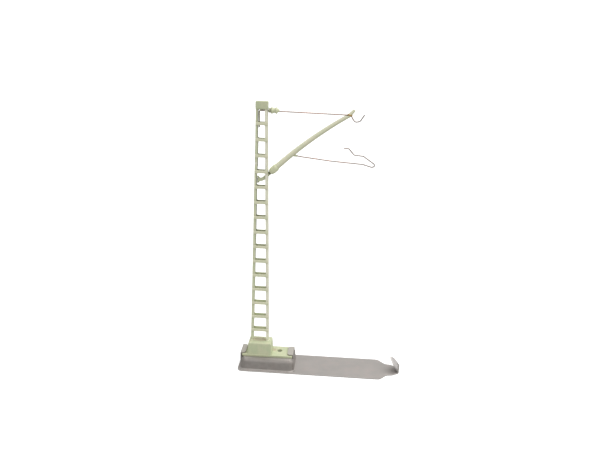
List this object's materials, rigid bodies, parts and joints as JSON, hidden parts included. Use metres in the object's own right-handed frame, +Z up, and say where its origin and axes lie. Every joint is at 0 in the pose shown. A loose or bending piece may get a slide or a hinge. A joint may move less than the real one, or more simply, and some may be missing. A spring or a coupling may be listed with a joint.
{
  "type": "model railway overhead line mast",
  "caption": "Slender lattice mast on a clip-on track base, with a swinging bracket arm, insulators and bent wire hooks that carry an overhead line.",
  "frame": {"origin": "underside of the tongue, on the track's centre line, 34.5 mm from the mast's axis", "axes": "+X away from the mast along the tongue, +Y along the track, +Z up"},
  "size_m": [0.0647, 0.0146, 0.1043],
  "materials": {
    "green_paint": "satin, pale grey-green paint, thin at edges",
    "bare_steel": "dull pressed sheet",
    "copper_wire": "drawn wire, worn copper plating",
    "green_moulding": "moulded, same green as the mast",
    "solder": "brownish solder"
  },
  "bodies": {
    "mast": {"base_plate": "bare_steel", "foot_casting": "green_paint", "left_post": "green_paint", "right_post": "green_paint", "front_batten_01": "green_paint", "front_batten_02": "green_paint", "front_batten_03": "green_paint", "front_batten_04": "green_paint", "front_batten_05": "green_paint", "front_batten_06": "green_paint", "front_batten_07": "green_paint", "front_batten_08": "green_paint", "front_batten_09": "green_paint", "front_batten_10": "green_paint", "front_batten_11": "green_paint", "front_batten_12": "green_paint", "front_batten_13": "green_paint", "front_batten_14": "green_paint", "front_batten_15": "green_paint", "back_batten_01": "green_paint", "back_batten_02": "green_paint", "back_batten_03": "green_paint", "back_batten_04": "green_paint", "back_batten_05": "green_paint", "back_batten_06": "green_paint", "back_batten_07": "green_paint", "back_batten_08": "green_paint", "back_batten_09": "green_paint", "back_batten_10": "green_paint", "back_batten_11": "green_paint", "back_batten_12": "green_paint", "back_batten_13": "green_paint", "back_batten_14": "green_paint", "back_batten_15": "green_paint", "head_cap": "green_paint", "upper_pivot_bush": "green_paint", "lower_pivot_staple": "green_paint"},
    "bracket": {"arm_tail": "green_paint", "arm_insulator": "green_moulding", "bracket_arm": "green_paint", "tip_solder": "solder", "steady_socket": "green_paint", "tie_insulator": "green_moulding", "tie_wire": "copper_wire", "steady_wire": "copper_wire"}
  },
  "joints": [
    {"name": "bracket_swing", "type": "hinge", "parent": "mast", "child": "bracket", "pos_m": [-0.03545, 0, 0.086], "axis": [0, 0, 1], "range_deg": [-4, 4]}
  ]
}
